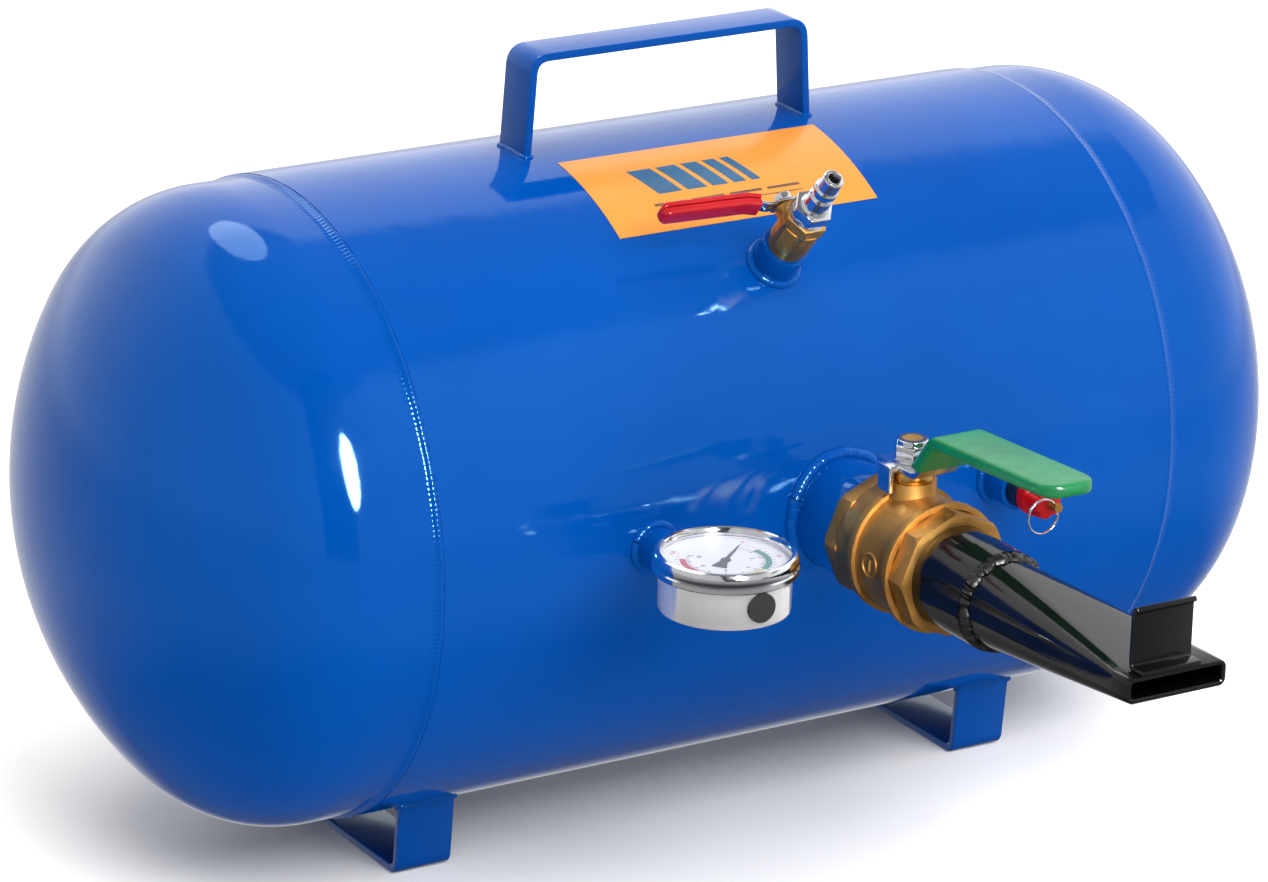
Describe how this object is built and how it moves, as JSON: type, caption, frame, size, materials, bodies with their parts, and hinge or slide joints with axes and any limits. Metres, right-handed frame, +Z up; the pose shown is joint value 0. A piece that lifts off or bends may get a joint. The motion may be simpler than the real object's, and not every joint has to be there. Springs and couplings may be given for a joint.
{
  "type": "air receiver tank",
  "caption": "Portable horizontal air receiver with domed ends, carry handle, two strap feet, gauge, relief valve, inlet valve and a ball-valve outlet with a flat blast nozzle.",
  "frame": {"origin": "on the ground, under the middle of the object's overall box", "axes": "+X along the tank axis, -Y the way the nozzle points, +Z up"},
  "size_m": [0.6502, 0.5759, 0.381],
  "materials": {
    "tank_paint": "smooth glossy blue powder coat",
    "sticker": "printed orange vinyl with plain blocks",
    "brass": "hot-pressed brass, matt forged skin",
    "plated_steel": "bright zinc and chrome plating",
    "lever_steel": "plated pressed steel",
    "seat_plastic": "white seat and packing plastic",
    "green_vinyl": "dipped green vinyl",
    "red_vinyl": "dipped red vinyl",
    "black_paint": "glossy black paint",
    "weld_black": "rough painted weld",
    "gauge_steel": "polished stainless steel",
    "lens_glass": "clear window",
    "dial_white": "white printed dial",
    "needle_black": "black enamel",
    "black_rubber": "moulded rubber plug",
    "relief_steel": "dark knurled steel",
    "red_cap": "red lacquered cap"
  },
  "bodies": {
    "tank": {"shell": "tank_paint", "head_left": "tank_paint", "head_right": "tank_paint", "seam_weld_left": "tank_paint", "seam_weld_right": "tank_paint", "carry_handle": "tank_paint", "handle_welds": "tank_paint", "foot_left": "tank_paint", "foot_right": "tank_paint", "foot_welds": "tank_paint", "label": "sticker", "outlet_stub": "tank_paint", "outlet_weld": "tank_paint", "gauge_boss": "tank_paint", "gauge_weld": "tank_paint", "relief_boss": "tank_paint", "relief_weld": "tank_paint", "inlet_boss": "tank_paint", "inlet_weld": "tank_paint", "outlet_valve_body": "brass", "outlet_end_adapter": "brass", "outlet_seats": "seat_plastic", "outlet_packing": "seat_plastic", "outlet_gland": "brass", "nozzle_pipe": "black_paint", "nozzle_weld": "weld_black", "nozzle_flare": "black_paint", "rim_hook": "black_paint", "inlet_valve_body": "brass", "inlet_seats": "seat_plastic", "inlet_gland": "brass", "inlet_coupler": "plated_steel", "gauge_connector": "brass", "gauge_case": "gauge_steel", "gauge_bezel": "gauge_steel", "gauge_lens": "lens_glass", "gauge_dial": "dial_white", "gauge_bourdon": "brass", "gauge_movement": "brass", "gauge_plug": "black_rubber", "relief_body": "relief_steel", "relief_cap": "red_cap"},
    "outlet_lever_set": {"outlet_ball": "plated_steel", "outlet_stem": "brass", "outlet_lever": "lever_steel", "outlet_grip": "green_vinyl", "outlet_washer": "plated_steel", "outlet_nut": "plated_steel"},
    "inlet_lever_set": {"inlet_ball": "plated_steel", "inlet_stem": "brass", "inlet_lever": "lever_steel", "inlet_grip": "red_vinyl", "inlet_nut": "plated_steel"},
    "gauge_needle": {"gauge_pointer": "needle_black"},
    "relief_pin": {"relief_poppet": "brass", "relief_spring": "plated_steel"},
    "pull_ring": {"relief_ring": "plated_steel"}
  },
  "joints": [
    {"name": "outlet_lever_turn", "type": "hinge", "parent": "tank", "child": "outlet_lever_set", "pos_m": [0.012, -0.078, 0.183], "axis": [0, 0, 1], "range_deg": [-90, 0]},
    {"name": "inlet_lever_turn", "type": "hinge", "parent": "tank", "child": "inlet_lever_set", "pos_m": [0.003, 0.01108, 0.31431], "axis": [0, 0.749, 0.6626], "range_deg": [0, 90]},
    {"name": "gauge_needle_turn", "type": "hinge", "parent": "tank", "child": "gauge_needle", "pos_m": [-0.091, -0.082, 0.1968], "axis": [0, 0, 1], "range_deg": [-270, 0], "stiffness_Nm_per_rad": 0.0005},
    {"name": "relief_pull", "type": "slide", "parent": "tank", "child": "relief_pin", "axis": [0, -1, 0], "range_m": [0, 0.0025], "stiffness_N_per_m": 900},
    {"name": "pull_ring_swing", "type": "hinge", "parent": "relief_pin", "child": "pull_ring", "pos_m": [0.1025, -0.0688, 0.1855], "axis": [-0.4226, 0, 0.9063], "range_deg": [-10, 90]}
  ]
}
